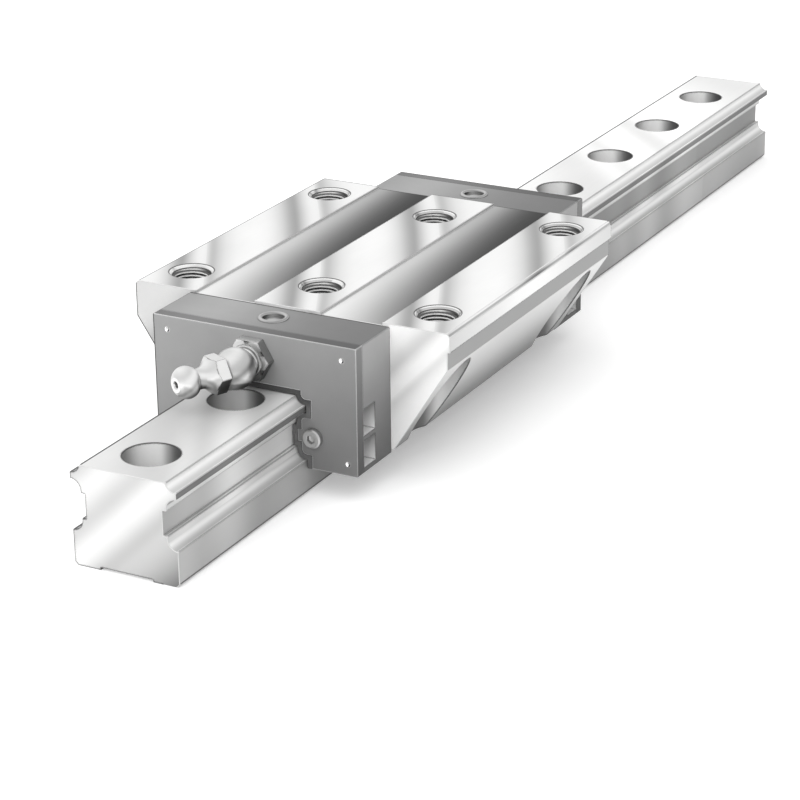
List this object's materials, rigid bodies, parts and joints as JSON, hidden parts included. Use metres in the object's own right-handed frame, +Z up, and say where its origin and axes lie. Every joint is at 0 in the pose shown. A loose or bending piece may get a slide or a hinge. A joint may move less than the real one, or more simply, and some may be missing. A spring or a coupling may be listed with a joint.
{
  "type": "linear guide rail with block",
  "caption": "Profiled steel guide rail with counterbored fixing holes and a flanged recirculating-ball carriage that slides along it.",
  "frame": {"origin": "middle of the rail's underside", "axes": "+Y along the rail, away from the grease nipple; +Z up; +X across the rail, to the side with the carriage's reference step"},
  "size_m": [0.072, 0.3, 0.033],
  "materials": {
    "rail_steel": "ground and polished",
    "carriage_steel": "ground, satin",
    "cap_plastic": "matt moulded grey",
    "seal_rubber": "matt",
    "port_plug": "matt",
    "bright_metal": "bright plated",
    "screw_steel": "satin",
    "cage_plastic": "matt moulded"
  },
  "bodies": {
    "rail": {"guide_rail": "rail_steel"},
    "carriage": {"carriage_block": "carriage_steel", "front_end_cap": "cap_plastic", "rear_end_cap": "cap_plastic", "front_end_plate": "cap_plastic", "rear_end_plate": "cap_plastic", "front_seal_lip": "seal_rubber", "rear_seal_lip": "seal_rubber", "front_port_plug": "port_plug", "rear_port_plug": "port_plug", "nipple_base": "bright_metal", "grease_nipple": "bright_metal", "front_screw_left": "screw_steel", "rear_screw_left": "screw_steel", "top_cage_left": "cage_plastic", "side_cage_left": "cage_plastic", "inner_cage_left": "cage_plastic", "foot_strip_left": "cage_plastic", "under_seal_left": "seal_rubber", "front_screw_right": "screw_steel", "rear_screw_right": "screw_steel", "top_cage_right": "cage_plastic", "side_cage_right": "cage_plastic", "inner_cage_right": "cage_plastic", "foot_strip_right": "cage_plastic", "under_seal_right": "seal_rubber"}
  },
  "joints": [
    {"name": "carriage_slide", "type": "slide", "parent": "rail", "child": "carriage", "axis": [0, 1, 0], "range_m": [-0.047, 0.1482]}
  ]
}
